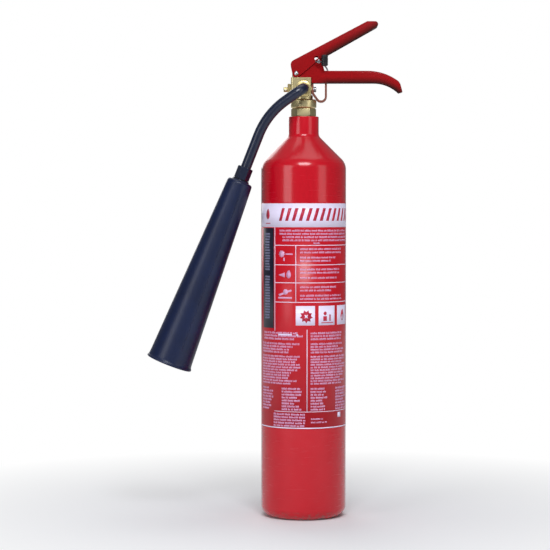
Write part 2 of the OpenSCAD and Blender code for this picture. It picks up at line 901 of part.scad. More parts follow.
module safety_pin() {
    flange_y = lever_outer_w / 2 + free_gap;
    color([0.80, 0.81, 0.84])
        translate([safety_x, 0, safety_z])
            difference() {
                rotate([90, 0, 0])
                    union() {
                        translate([0, 0, -safety_tail])
                            chamfered(safety_r, safety_tail + safety_tip, 0.6);
                        translate([0, 0, -flange_y - 1.4])
                            chamfered(safety_r + 1.2, 1.4, 0.3);
                    }
                translate([-safety_pin_d, -seal_hole_y, 0])
                    rotate([0, 90, 0])
                        cylinder(r = seal_hole_r, h = 2 * safety_pin_d, $fn = 32);
                translate([-safety_pin_d, ring_hole_y, 0])
                    rotate([0, 90, 0])
                        cylinder(r = ring_hole_r, h = 2 * safety_pin_d, $fn = 32);
            }
}

module pull_ring() {
    color([0.80, 0.81, 0.84])
        translate([safety_x, ring_hole_y, safety_z - ring_r])
            rotate([90, 0, 0])
                wire_ring(ring_r, pull_wire_d / 2);
}

// Breakable seal: a strap through the pin's tip, with a bead at one end and a barrel at the other
module tamper_seal() {
    bead_x = -safety_r - 0.3 - seal_bead_l;
    color([0.06, 0.06, 0.07])
        translate([safety_x, -seal_hole_y, safety_z]) {
            translate([bead_x + 0.5, 0, 0])
                rotate([0, 90, 0])
                    cylinder(r = seal_strap_r, h = seal_barrel_x - bead_x - 0.5, $fn = 32);
            translate([bead_x, 0, 0])
                rotate([0, 90, 0])
                    chamfered(seal_bead_r, seal_bead_l, 0.3);
            translate([seal_barrel_x, seal_barrel_y, seal_barrel_lift - seal_barrel_h / 2])
                chamfered(seal_barrel_r, seal_barrel_h, 0.7);
        }
}

// ---------- discharge pipe and horn ----------

// Moves the frame round a bend of the pipe, towards its own +X
module turned(radius, angle) {
    translate([radius, 0, 0])
        rotate([0, angle, 0])
            translate([-radius, 0, 0])
                children();
}

// Bend of tube from the frame's origin towards its +X; its ends lap inside the straight lengths,
// and bending draws its wall a hair thinner than theirs
module tube_bend(radius, angle) {
    lap = 0.3 / radius * 180 / PI;
    translate([radius, 0, 0])
        rotate([90, 0, 0])
            rotate([0, 0, 180 - angle - lap])
                rotate_extrude(angle = angle + 2 * lap, $fn = 96)
                    translate([radius, 0])
                        difference() {
                            circle(r = pipe_r - bend_thinning, $fn = 48);
                            circle(r = gas_r + bend_thinning, $fn = 48);
                        }
}

// Straight length of tube along +Z
module tube_length(l) {
    difference() {
        cylinder(r = pipe_r, h = l, $fn = 48);
        translate([0, 0, -1])
            cylinder(r = gas_r, h = l + 2, $fn = 48);
    }
}

// Frames along the pipe; each has +Z along the way the gas flows
module outlet_frame() {
    translate([0, -pipe_start, outlet_z])
        rotate([90, 0, 0])
            children();
}

module elbow_frame() {
    outlet_frame()
        translate([0, 0, stub_l])
            rotate([0, 0, 180 + pipe_drop])
                children();
}

module sweep_frame() {
    elbow_frame()
        turned(elbow_r, 90)
            translate([0, 0, run_l])
                rotate([0, 0, 90])
                    children();
}

module horn_frame() {
    sweep_frame()
        turned(sweep_r, sweep_angle)
            translate([0, 0, tail_l])
                children();
}

module discharge_pipe() {
    color([0.12, 0.15, 0.20]) {
        outlet_frame()
            tube_length(stub_l);
        elbow_frame()
            tube_bend(elbow_r, 90);
        elbow_frame()
            turned(elbow_r, 90)
                tube_length(run_l);
        sweep_frame()
            tube_bend(sweep_r, sweep_angle);
        sweep_frame()
            turned(sweep_r, sweep_angle)
                tube_length(tail_l + pipe_into_horn);
    }
}

module pipe_collar() {
    color([0.12, 0.15, 0.20])
        outlet_frame()
            difference() {
                chamfered(collar_r, collar_t, 0.3);
                translate([0, 0, -1])
                    cylinder(r = pipe_r, h = collar_t + 2, $fn = 48);
            }
}

module union_nut() {
    color([0.80, 0.70, 0.42])
        translate([0, -nut_back, outlet_z])
            rotate([90, 0, 0])
                difference() {
                    hex_bar(2 * (spigot_r + union_nut_wall), nut_front - nut_back);
                    translate([0, 0, -1])
                        cylinder(r = spigot_r + seat_gap, h = nut_shoulder - nut_back + 1);
                    cylinder(r = pipe_r + run_gap, h = nut_front, $fn = 48);
                }
}

module outlet_o_ring() {
    color([0.08, 0.08, 0.08])
        translate([0, -spigot_end + seal_t / 2, outlet_z])
            rotate([90, 0, 0])
                wire_ring(seal_groove_r, seal_t / 2);
}

module horn_nut() {
    color([0.12, 0.15, 0.20])
        horn_frame()
            translate([0, 0, -horn_boss_h - horn_washer_t - horn_nut_h])
                difference() {
                    hex_bar(horn_nut_af, horn_nut_h);
                    translate([0, 0, -1])
                        cylinder(r = pipe_r, h = horn_nut_h + 2, $fn = 48);
                }
}

module horn_washer() {
    color([0.60, 0.61, 0.63])
        horn_frame()
            translate([0, 0, -horn_boss_h - horn_washer_t])
                difference() {
                    chamfered(horn_boss_r - 0.8, horn_washer_t, 0.15);
                    translate([0, 0, -1])
                        cylinder(r = pipe_r + seat_gap, h = horn_washer_t + 2, $fn = 48);
                }
}

module gas_jet() {
    color([0.80, 0.70, 0.42])
        horn_frame()
            translate([0, 0, horn_top_t])
                difference() {
                    hex_bar(jet_af, jet_l);
                    translate([0, 0, -1])
                        cylinder(r = pipe_r, h = pipe_into_horn - horn_top_t + 1, $fn = 48);
                    cylinder(r = gas_r - 1, h = jet_l - 3);
                    cylinder(r = jet_hole_r, h = jet_l + 1, $fn = 32);
                    translate([0, 0, jet_l - 2])
                        cylinder(r1 = jet_hole_r, r2 = 4, h = 2 + eps);
                }
}

module horn() {
    top_r = horn_top_d / 2;
    mouth_r = horn_mouth_d / 2;
    lip_z = horn_length - horn_lip_t;
    lip_r = horn_lip_t / 2;
    color([0.12, 0.15, 0.20])
        horn_frame()
            difference() {
                rotate_extrude($fn = 96)
                    union() {
                        polygon([
                            [0, -horn_boss_h], [horn_boss_r - 0.5, -horn_boss_h],
                            [horn_boss_r, 0.5 - horn_boss_h], [horn_boss_r, 0],
                            [top_r - horn_corner_r, 0], [top_r, horn_corner_r],
                            [mouth_r, lip_z], [mouth_r + horn_lip_out - lip_r, lip_z],
                            [mouth_r + horn_lip_out - lip_r, horn_length], [0, horn_length]
                        ]);
                        translate([top_r - horn_corner_r, horn_corner_r])
                            circle(r = horn_corner_r);
                        translate([mouth_r + horn_lip_out - lip_r, lip_z + lip_r])
                            circle(r = lip_r);
                    }
                rotate_extrude($fn = 96)
                    polygon([
                        [0, horn_top_t], [top_r - horn_wall - 2, horn_top_t],
                        [top_r - horn_wall + 0.2, horn_top_t + 3],
                        [mouth_r - horn_wall, horn_length + eps], [0, horn_length + eps]
                    ]);
                translate([0, 0, -horn_boss_h - 1])
                    cylinder(r = pipe_r + seat_gap, h = horn_top_t + horn_boss_h + 2, $fn = 48);
            }
}

bottle();
label();
neck_o_ring();
valve_body();
gland_nut();
stem_o_ring();
push_rod();
seat_disc();
seat_plunger();
valve_spring();
spring_retainer();
dip_tube();
burst_disc();
burst_disc_gasket();
burst_disc_nut();
carry_handle();
squeeze_lever();
lever_pin();
hanger_loop();
handle_screw();
handle_screw_washer();
safety_pin();
pull_ring();
tamper_seal();
union_nut();
outlet_o_ring();
pipe_collar();
discharge_pipe();
horn_nut();
horn_washer();
gas_jet();
horn();
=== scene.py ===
"""Portable carbon dioxide fire extinguisher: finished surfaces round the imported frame.

Lengths are in metres. The origin is on the bottle's axis in its foot plane, +Z is up, the handles
reach along +X and the horn hangs on the -X side, in front of the bottle.
"""

import math
import random

import bmesh
import bpy
from mathutils import Matrix, Vector


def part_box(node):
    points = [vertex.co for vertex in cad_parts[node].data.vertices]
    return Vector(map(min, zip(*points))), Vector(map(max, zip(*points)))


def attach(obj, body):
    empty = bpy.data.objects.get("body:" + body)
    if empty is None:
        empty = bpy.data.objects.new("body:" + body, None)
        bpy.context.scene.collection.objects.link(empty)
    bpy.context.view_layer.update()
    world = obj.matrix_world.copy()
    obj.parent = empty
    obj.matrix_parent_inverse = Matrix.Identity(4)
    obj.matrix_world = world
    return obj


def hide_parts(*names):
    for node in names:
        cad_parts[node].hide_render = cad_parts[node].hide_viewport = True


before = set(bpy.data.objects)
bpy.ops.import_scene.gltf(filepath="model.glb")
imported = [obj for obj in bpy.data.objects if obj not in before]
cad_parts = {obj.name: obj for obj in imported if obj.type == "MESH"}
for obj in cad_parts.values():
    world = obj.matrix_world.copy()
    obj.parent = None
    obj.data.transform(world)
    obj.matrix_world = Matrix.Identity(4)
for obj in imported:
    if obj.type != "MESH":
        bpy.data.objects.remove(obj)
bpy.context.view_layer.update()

MM = 0.001
WRITTEN = random.Random(11)


def middle(node):
    """Centre of a node's box."""
    low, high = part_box(node)
    return (low + high) / 2


# ---------- places that the frame gives ----------

BOTTLE_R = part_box("bottle")[1].y / MM
NECK_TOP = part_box("bottle")[1].z / MM
LABEL_R = -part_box("label")[0].y / MM
LABEL_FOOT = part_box("label")[0].z / MM
LABEL_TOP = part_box("label")[1].z / MM
HORN_WAY = (middle("gas_jet") - middle("horn_nut")).normalized()
HORN_TOP = middle("horn_washer") + 2 * MM * HORN_WAY
SEAL_LOW, SEAL_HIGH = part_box("tamper_seal")

# ---------- sizes of the turned pieces, in millimetres ----------

SHOULDER_FOOT = 418
SHOULDER_R = 18
BLEND = (26.2, 461.57)
BLEND_R = 8
NECK_R = 18.2
THREAD_R = 12.6
BASE_CORNER_R = 13
PUNT_RIM_R = 34
PUNT_H = 8
WALL = 3.2
HORN_LENGTH = 233
HORN_TOP_R = 15.3
HORN_MOUTH_R = 26.5
HORN_LIP_R = 27.85
HORN_WALL = 2.2
PIPE_R = 6.25


# ---------- mesh helpers ----------

def arc(centre, radius, start, end, steps=8):
    """Points of an arc in an outline, from one angle to another in degrees."""
    turn = math.radians(end - start) / steps
    angles = [math.radians(start) + turn * i for i in range(steps + 1)]
    return [(centre[0] + radius * math.cos(a), centre[1] + radius * math.sin(a)) for a in angles]


def lathe(outline, steps=96, closed=False):
    """Turns an outline of (radius, height) points in millimetres about Z."""
    bm = bmesh.new()
    verts = [bm.verts.new((r * MM, 0, z * MM)) for r, z in outline]
    ends = verts[1:] + verts[:1] if closed else verts[1:]
    edges = [bm.edges.new(pair) for pair in zip(verts, ends)]
    bmesh.ops.spin(
        bm, geom=verts + edges, axis=(0, 0, 1), cent=(0, 0, 0), angle=math.tau, steps=steps, use_merge=True
    )
    bmesh.ops.remove_doubles(bm, verts=bm.verts, dist=1e-6)
    bmesh.ops.recalc_face_normals(bm, faces=bm.faces)
    return bm


def merged_copy(node):
    """A node's own mesh with its loose triangles joined and its flats made whole."""
    bm = bmesh.new()
    bm.from_mesh(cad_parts[node].data)
    bmesh.ops.remove_doubles(bm, verts=bm.verts, dist=2e-6)
    bmesh.ops.dissolve_limit(bm, angle_limit=math.radians(1), verts=bm.verts, edges=bm.edges)
    return bm


def piece(name, bm, body, finish, sharp=38):
    """Makes a finished piece of a mesh, smooth except where it turns by more than sharp degrees."""
    mesh = bpy.data.meshes.new(name)
    bm.to_mesh(mesh)
    bm.free()
    mesh.shade_smooth()
    mesh.set_sharp_from_angle(angle=math.radians(sharp))
    mesh.materials.append(finish)
    made = bpy.data.objects.new(name, mesh)
    bpy.context.collection.objects.link(made)
    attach(made, body)
    return made


def soften(made, width, segments=2, angle=38):
    """Rounds a piece's hard edges, as tumbling, casting or paint leaves them."""
    edge = made.modifiers.new("soft edges", "BEVEL")
    edge.width = width * MM
    edge.segments = segments
    edge.limit_method = "ANGLE"
    edge.angle_limit = math.radians(angle)
    edge.harden_normals = True
    edge.use_clamp_overlap = True
    return made


# ---------- material helpers ----------

def srgb(red, green, blue):
    """A colour given as 0 to 255 display values, as the linear values that shaders take."""
    parts = [v / 255 for v in (red, green, blue)]
    return (*[v / 12.92 if v <= 0.04045 else ((v + 0.055) / 1.055) ** 2.4 for v in parts], 1)


def node(tree, kind, inputs=None, **settings):
    """Adds a node; an input is given a value, or the socket that feeds it."""
    made = tree.nodes.new(kind)
    for key, value in settings.items():
        setattr(made, key, value)
    for key, value in (inputs or {}).items():
        if isinstance(value, bpy.types.NodeSocket):
            tree.links.new(value, made.inputs[key])
        else:
            made.inputs[key].default_value = value
    return made


def math_node(tree, operation, first, second=0.0, clamp=False):
    """Result of a sum on values."""
    inputs = {0: first, 1: second}
    return node(tree, "ShaderNodeMath", inputs, operation=operation, use_clamp=clamp).outputs[0]


def times_plus(tree, value, factor, added):
    """A value times a factor, plus a number or another value."""
    inputs = {0: value, 1: factor, 2: added}
    return node(tree, "ShaderNodeMath", inputs, operation="MULTIPLY_ADD").outputs[0]


def blend_colours(tree, mask, first, second):
    """Mixes two colours by a mask."""
    factor, colour_a, colour_b, colour_out = 0, 6, 7, 2
    inputs = {factor: mask, colour_a: first, colour_b: second}
    return node(tree, "ShaderNodeMix", inputs, data_type="RGBA").outputs[colour_out]


def ramp(tree, value, low, high):
    """Stretches the part of a value between low and high over 0 to 1."""
    inputs = {"Value": value, "From Min": low, "From Max": high}
    return node(tree, "ShaderNodeMapRange", inputs, clamp=True).outputs[0]


def group(name, inputs, outputs):
    """Starts a shader node group with named sockets; returns its tree and its two ends."""
    tree = bpy.data.node_groups.new(name, "ShaderNodeTree")
    for label, kind, value in inputs:
        socket = tree.interface.new_socket(label, in_out="INPUT", socket_type=kind)
        socket.default_value = value
    for label, kind in outputs:
        tree.interface.new_socket(label, in_out="OUTPUT", socket_type=kind)
    return tree, tree.nodes.new("NodeGroupInput"), tree.nodes.new("NodeGroupOutput")


def use(tree, shared, **values):
    """Places a shared group in a material; underscores in the names stand for spaces."""
    inputs = {key.replace("_", " "): value for key, value in values.items()}
    return node(tree, "ShaderNodeGroup", inputs, node_tree=shared)


def material(name, **values):
    """A new material; returns it with its tree and its Principled shader."""
    made = bpy.data.materials.new(name)
    made.use_nodes = True
    shader = made.node_tree.nodes["Principled BSDF"]
    for key, value in values.items():
        shader.inputs[key.replace("_", " ")].default_value = value
    return made, made.node_tree, shader


FLOAT = "NodeSocketFloat"
COLOUR = "NodeSocketColor"
VECTOR = "NodeSocketVector"


# ---------- shared effects ----------

def make_drift():
    """Slow and fine change of a colour over a surface."""
    tree, start, end = group(
        "colour drift",
        [("Colour", COLOUR, (0.5, 0.5, 0.5, 1)), ("Other Colour", COLOUR, (0.4, 0.4, 0.4, 1)),
         ("Scale", FLOAT, 20.0), ("Amount", FLOAT, 0.5)],
        [("Colour", COLOUR), ("Value", FLOAT)],
    )
    place = node(tree, "ShaderNodeTexCoord").outputs["Object"]
    clouds = node(tree, "ShaderNodeTexNoise",
                  {"Vector": place, "Scale": start.outputs["Scale"], "Detail": 6.0, "Roughness": 0.6})
    spread = ramp(tree, clouds.outputs["Fac"], 0.32, 0.7)
    mask = math_node(tree, "MULTIPLY", spread, start.outputs["Amount"], clamp=True)
    colour = blend_colours(tree, mask, start.outputs["Colour"], start.outputs["Other Colour"])
    tree.links.new(colour, end.inputs["Colour"])
    tree.links.new(spread, end.inputs["Value"])
    return tree


def make_paint_skin():
    """Orange peel and dust specks in a sprayed or powder-coated surface, as a bumped normal."""
    tree, start, end = group(
        "paint skin",
        [("Peel Scale", FLOAT, 300.0), ("Peel Depth", FLOAT, 0.1),
         ("Speck Scale", FLOAT, 900.0), ("Speck Depth", FLOAT, 0.1)],
        [("Normal", VECTOR)],
    )
    place = node(tree, "ShaderNodeTexCoord").outputs["Object"]
    peel = node(tree, "ShaderNodeTexNoise",
                {"Vector": place, "Scale": start.outputs["Peel Scale"], "Detail": 2.0})
    specks = node(tree, "ShaderNodeTexVoronoi",
                  {"Vector": place, "Scale": start.outputs["Speck Scale"]}, feature="SMOOTH_F1")
    first = node(tree, "ShaderNodeBump",
                 {"Strength": start.outputs["Peel Depth"], "Distance": 0.0004, "Height": peel.outputs["Fac"]})
    second = node(tree, "ShaderNodeBump",
                  {"Strength": start.outputs["Speck Depth"], "Distance": 0.0001,
                   "Height": specks.outputs["Distance"], "Normal": first.outputs[0]})
    tree.links.new(second.outputs[0], end.inputs["Normal"])
    return tree


def make_edge_wear():
    """Mask of the convex edges of a piece, broken up where hands and tools have rubbed."""
    tree, start, end = group(
        "edge wear",
        [("Radius", FLOAT, 0.001), ("Amount", FLOAT, 0.5), ("Break Up", FLOAT, 400.0)],
        [("Mask", FLOAT)],
    )
    rounded = node(tree, "ShaderNodeBevel", {"Radius": start.outputs["Radius"]}, samples=4)
    flat = node(tree, "ShaderNodeNewGeometry").outputs["Normal"]
    match = node(tree, "ShaderNodeVectorMath", {0: rounded.outputs[0], 1: flat}, operation="DOT_PRODUCT")
    turned = ramp(tree, match.outputs["Value"], 0.995, 0.86)
    place = node(tree, "ShaderNodeTexCoord").outputs["Object"]
    patches = node(tree, "ShaderNodeTexNoise",
                   {"Vector": place, "Scale": start.outputs["Break Up"], "Detail": 4.0})
    broken = ramp(tree, patches.outputs["Fac"], 0.42, 0.62)
    mask = math_node(tree, "MULTIPLY", math_node(tree, "MULTIPLY", turned, broken), start.outputs["Amount"])
    tree.links.new(mask, end.inputs["Mask"])
    return tree


def make_scratches():
    """Mask of fine scratches that run mostly one way."""
    tree, start, end = group(
        "scratches",
        [("Scale", FLOAT, 60.0), ("Stretch", VECTOR, (1, 1, 12)), ("Amount", FLOAT, 0.5)],
        [("Mask", FLOAT)],
    )
    place = node(tree, "ShaderNodeTexCoord").outputs["Object"]
    drawn = node(tree, "ShaderNodeVectorMath", {0: place, 1: start.outputs["Stretch"]}, operation="MULTIPLY")
    lines = node(tree, "ShaderNodeTexNoise",
                 {"Vector": drawn.outputs[0], "Scale": start.outputs["Scale"], "Detail": 8.0,
                  "Roughness": 0.7})
    thin = ramp(tree, lines.outputs["Fac"], 0.6, 0.72)
    mask = math_node(tree, "MULTIPLY", thin, start.outputs["Amount"])
    tree.links.new(mask, end.inputs["Mask"])
    return tree


def make_dust():
    """Mask of dust that settles on faces that look upwards."""
    tree, start, end = group("dust", [("Amount", FLOAT, 0.3)], [("Mask", FLOAT)])
    normal = node(tree, "ShaderNodeNewGeometry").outputs["Normal"]
    upward = node(tree, "ShaderNodeSeparateXYZ", {0: normal}).outputs["Z"]
    place = node(tree, "ShaderNodeTexCoord").outputs["Object"]
    drifts = node(tree, "ShaderNodeTexNoise", {"Vector": place, "Scale": 90.0, "Detail": 8.0})
    settled = math_node(tree, "MULTIPLY", ramp(tree, upward, 0.35, 0.95), drifts.outputs["Fac"])
    mask = math_node(tree, "MULTIPLY", settled, start.outputs["Amount"])
    tree.links.new(mask, end.inputs["Mask"])
    return tree


def make_under_shade():
    """Mask of painted shade: a band along the lower edge of a grip, which runs straight and may bend down."""
    tree, start, end = group(
        "under shade",
        [("Foot", FLOAT, 0.5), ("Slope", FLOAT, 0.0), ("Bend At", FLOAT, 1.0), ("Bend", FLOAT, 0.0),
         ("From", FLOAT, 0.0), ("Reach", FLOAT, 0.006)],
        [("Mask", FLOAT)],
    )
    place = node(tree, "ShaderNodeTexCoord").outputs["Object"]
    apart = node(tree, "ShaderNodeSeparateXYZ", {0: place})
    along, up = apart.outputs["X"], apart.outputs["Z"]
    line = math_node(tree, "MULTIPLY", along, start.outputs["Slope"])
    edge = math_node(tree, "ADD", line, start.outputs["Foot"])
    height = math_node(tree, "SUBTRACT", up, edge)
    past = math_node(tree, "MAXIMUM", math_node(tree, "SUBTRACT", along, start.outputs["Bend At"]), 0.0)
    sag = math_node(tree, "MULTIPLY", math_node(tree, "MULTIPLY", past, past), start.outputs["Bend"])
    above = math_node(tree, "ADD", height, sag)
    level = math_node(tree, "DIVIDE", above, start.outputs["Reach"], clamp=True)
    out = math_node(tree, "SUBTRACT", along, start.outputs["From"])
    fade_in = 0.014
    shade = math_node(tree, "SUBTRACT", 1.0, level)
    mask = math_node(tree, "MULTIPLY", shade, ramp(tree, out, 0.0, fade_in))
    tree.links.new(mask, end.inputs["Mask"])
    return tree


DRIFT = make_drift()
PAINT_SKIN = make_paint_skin()
EDGE_WEAR = make_edge_wear()
SCRATCHES = make_scratches()
DUST = make_dust()
UNDER_SHADE = make_under_shade()


# ---------- materials ----------

def gloss_paint(name, colour, deep, worn_edge_and_highlight, coat=0.5, rough=0.2, peel=0.10, wear=0.5, edge=0.0009,
                shine=0.5, haze=0.08):
    """Enamel or powder coat over metal, with orange peel, worn edges, fine scratches and dust."""
    made, tree, shader = material(name, Coat_Weight=coat, Coat_Roughness=haze, Specular_IOR_Level=shine)
    body = use(tree, DRIFT, Colour=colour, Other_Colour=deep, Scale=14.0, Amount=0.55)
    worn = use(tree, EDGE_WEAR, Radius=edge, Amount=wear, Break_Up=420.0)
    rubbed = use(tree, SCRATCHES, Scale=45.0, Stretch=(1, 1, 9), Amount=0.35)
    dusty = use(tree, DUST, Amount=0.05)
    # Worn edges take the edge colour: real wear, partly a painted highlight where that colour is light.
    base = blend_colours(tree, worn.outputs["Mask"], body.outputs["Colour"], worn_edge_and_highlight)
    base = blend_colours(tree, dusty.outputs["Mask"], base, (0.62, 0.56, 0.52, 1))
    tree.links.new(base, shader.inputs["Base Color"])
    dull = times_plus(tree, rubbed.outputs["Mask"], 0.4, rough)
    tree.links.new(math_node(tree, "ADD", dull, dusty.outputs["Mask"]), shader.inputs["Roughness"])
    skin = use(tree, PAINT_SKIN, Peel_Scale=330.0, Peel_Depth=peel, Speck_Scale=1500.0, Speck_Depth=0.04)
    tree.links.new(skin.outputs["Normal"], shader.inputs["Normal"])
    return made


def bottle_paint():
    """Red enamel of the bottle, scuffed round the foot where it is set down."""
    made = gloss_paint("bottle red enamel", srgb(194, 8, 30), srgb(178, 5, 24), srgb(120, 12, 18),
                       coat=0.6, rough=0.27, peel=0.09, wear=0.3, shine=0.2, haze=0.15)
    tree = made.node_tree
    shader = tree.nodes["Principled BSDF"]
    place = node(tree, "ShaderNodeTexCoord").outputs["Object"]
    height = node(tree, "ShaderNodeSeparateXYZ", {0: place}).outputs["Z"]
    low = ramp(tree, height, 0.012, 0.0005)
    marks = node(tree, "ShaderNodeTexNoise",
                 {"Vector": place, "Scale": 160.0, "Detail": 8.0, "Roughness": 0.7})
    scuffed = math_node(tree, "MULTIPLY", low, ramp(tree, marks.outputs["Fac"], 0.5, 0.6))
    painted = shader.inputs["Base Color"].links[0].from_socket
    tree.links.new(blend_colours(tree, scuffed, painted, srgb(92, 84, 80)), shader.inputs["Base Color"])
    return made


def grip_paint_with_painted_shade(name, **edge):
    """Powder coat of a grip, with painted shade along its lower edge."""
    # The pink worn-edge colour is partly a painted highlight along the grip's edges.
    made = gloss_paint(name, srgb(146, 0, 6), srgb(126, 0, 5), srgb(184, 46, 54),
                       coat=0.05, rough=0.42, peel=0.14, wear=0.6, edge=0.0012, shine=0.12)
    tree = made.node_tree
    shader = tree.nodes["Principled BSDF"]
    # Painted shade: the lower edge blends to near-black red, as shade under a rounded underside.
    painted_shade_depth = 0.92
    shade = math_node(tree, "MULTIPLY", use(tree, UNDER_SHADE, **edge).outputs["Mask"], painted_shade_depth)
    painted = shader.inputs["Base Color"].links[0].from_socket
    tree.links.new(blend_colours(tree, shade, painted, srgb(30, 10, 6)), shader.inputs["Base Color"])
    return made


def metal(name, colour, tarnish, rough, grain=220.0, stretch=(1, 1, 1), drift=0.6, wear=0.0, bump=0.05,
          metallic=1.0):
    """Bare or plated metal with tarnish, fine tool marks and brighter rubbed edges."""
    made, tree, shader = material(name, Metallic=metallic)
    body = use(tree, DRIFT, Colour=colour, Other_Colour=tarnish, Scale=70.0, Amount=drift)
    worn = use(tree, EDGE_WEAR, Radius=0.0006, Amount=wear, Break_Up=300.0)
    bright = tuple(min(1, c * 1.25 + 0.05) for c in colour[:3]) + (1,)
    tree.links.new(
        blend_colours(tree, worn.outputs["Mask"], body.outputs["Colour"], bright), shader.inputs["Base Color"]
    )
    marks = use(tree, SCRATCHES, Scale=grain, Stretch=stretch, Amount=1.0)
    dull = times_plus(tree, marks.outputs["Mask"], 0.16, rough)
    tree.links.new(times_plus(tree, body.outputs["Value"], 0.12, dull), shader.inputs["Roughness"])
    place = node(tree, "ShaderNodeTexCoord").outputs["Object"]
    cut = node(tree, "ShaderNodeVectorMath", {0: place, 1: stretch}, operation="MULTIPLY")
    lines = node(tree, "ShaderNodeTexNoise", {"Vector": cut.outputs[0], "Scale": 900.0, "Detail": 3.0})
    raised = node(tree, "ShaderNodeBump",
                  {"Strength": bump, "Distance": 0.0002, "Height": lines.outputs["Fac"]})
    tree.links.new(raised.outputs[0], shader.inputs["Normal"])
    return made


def moulded(name, colour, other, rough, grain=1400.0, depth=0.12, coat=0.0, shine=0.5):
    """Moulded plastic or rubber: fine grain, slight change of tone, dust on top."""
    made, tree, shader = material(name, Coat_Weight=coat, Coat_Roughness=0.25, Specular_IOR_Level=shine)
    body = use(tree, DRIFT, Colour=colour, Other_Colour=other, Scale=24.0, Amount=0.6)
    dusty = use(tree, DUST, Amount=0.10)
    rubbed = use(tree, SCRATCHES, Scale=30.0, Stretch=(3, 3, 1), Amount=0.5)
    tree.links.new(
        blend_colours(tree, dusty.outputs["Mask"], body.outputs["Colour"], (0.30, 0.29, 0.28, 1)),
        shader.inputs["Base Color"],
    )
    dull = times_plus(tree, rubbed.outputs["Mask"], 0.22, rough)
    tree.links.new(dull, shader.inputs["Roughness"])
    skin = use(tree, PAINT_SKIN, Peel_Scale=260.0, Peel_Depth=0.05, Speck_Scale=grain, Speck_Depth=depth)
    tree.links.new(skin.outputs["Normal"], shader.inputs["Normal"])
    return made


def printed(name, colour, other, rough=0.34):
    """Ink or film of the label: slightly uneven, with rubbed patches."""
    made, tree, shader = material(name, Coat_Weight=0.12, Coat_Roughness=0.2, Specular_IOR_Level=0.35)
    body = use(tree, DRIFT, Colour=colour, Other_Colour=other, Scale=55.0, Amount=0.5)
    rubbed = use(tree, SCRATCHES, Scale=26.0, Stretch=(2, 2, 5), Amount=0.6)
    tree.links.new(body.outputs["Colour"], shader.inputs["Base Color"])
    dull = times_plus(tree, rubbed.outputs["Mask"], 0.25, rough)
    tree.links.new(dull, shader.inputs["Roughness"])
    skin = use(tree, PAINT_SKIN, Peel_Scale=120.0, Peel_Depth=0.05, Speck_Scale=2500.0, Speck_Depth=0.03)
    tree.links.new(skin.outputs["Normal"], shader.inputs["Normal"])
    return made


BOTTLE_PAINT = bottle_paint()
LEVER_PAINT = grip_paint_with_painted_shade("squeeze lever powder coat and painted shade", Foot=0.53895, Slope=0.5635, From=0.014, Reach=0.009)
HANDLE_PAINT = grip_paint_with_painted_shade("carry handle powder coat and painted shade", Foot=0.5216, Bend_At=0.0845, Bend=11.9, From=0.014,
                          Reach=0.0075)
PIPE_LACQUER = gloss_paint("pipe black lacquer", srgb(9, 23, 52), srgb(6, 14, 34), srgb(80, 88, 104),
                           coat=0.2, rough=0.32, peel=0.12, wear=0.4, shine=0.5)
BRASS = metal("machined brass", srgb(226, 210, 162), srgb(164, 150, 92), 0.30, stretch=(1, 1, 6),
              drift=0.45, wear=0.5, bump=0.02)
BRASS_DULL = metal("brass fittings", srgb(208, 188, 132), srgb(146, 130, 78), 0.32, stretch=(6, 1, 1),
                   drift=0.45, wear=0.4, bump=0.02)
BRIGHT_STEEL = metal("bright steel", srgb(222, 224, 228), srgb(178, 180, 186), 0.12,
                     stretch=(1, 10, 1), wear=0.4)
PLATED_STEEL = metal("plated steel", srgb(196, 196, 200), srgb(150, 148, 150), 0.28, wear=0.4)
# The strip's reddish-brown tone is partly a painted reflection of the red paint round it.
LOOP_STEEL = metal("reddish brown steel strip", srgb(176, 116, 100), srgb(120, 66, 54), 0.30,
                   stretch=(1, 1, 8), wear=0.6)
SPRING_STEEL = metal("spring steel", srgb(150, 152, 156), srgb(104, 104, 108), 0.24)
ALUMINIUM = metal("drawn aluminium", srgb(206, 208, 212), srgb(170, 172, 178), 0.26, stretch=(8, 8, 1))
BLACK_STEEL = metal("blackened steel", srgb(48, 50, 58), srgb(28, 30, 38), 0.42)
COPPER = metal("soft copper", srgb(212, 132, 96), srgb(150, 84, 58), 0.30)
# The horn's navy base colour partly stands in for the blue sheen on its dark plastic: painted sheen.
HORN_PLASTIC = moulded("horn plastic", srgb(9, 25, 62), srgb(6, 15, 40), 0.36, depth=0.10, shine=0.42)
SEAL_RUBBER = moulded("seal rubber", srgb(24, 24, 25), srgb(34, 33, 33), 0.6, depth=0.2)
SEAT_PLASTIC = moulded("seat plastic", srgb(232, 228, 214), srgb(214, 208, 190), 0.42)
BLACK_PLASTIC = moulded("seal strap plastic", srgb(16, 17, 22), srgb(26, 27, 33), 0.38)
FILM = printed("label film red", srgb(194, 10, 32), srgb(180, 6, 26))
WHITE_INK = printed("label white", srgb(238, 228, 250), srgb(226, 214, 240))
LETTER_INK = printed("label small print", srgb(222, 168, 204), srgb(204, 140, 180))
BLACK_INK = printed("label black", srgb(22, 22, 40), srgb(32, 32, 52))
GREY_INK = printed("label grey print", srgb(120, 120, 148), srgb(92, 92, 120))
RED_INK = printed("label red print", srgb(196, 34, 62), srgb(168, 26, 60))


# ---------- bottle and horn ----------

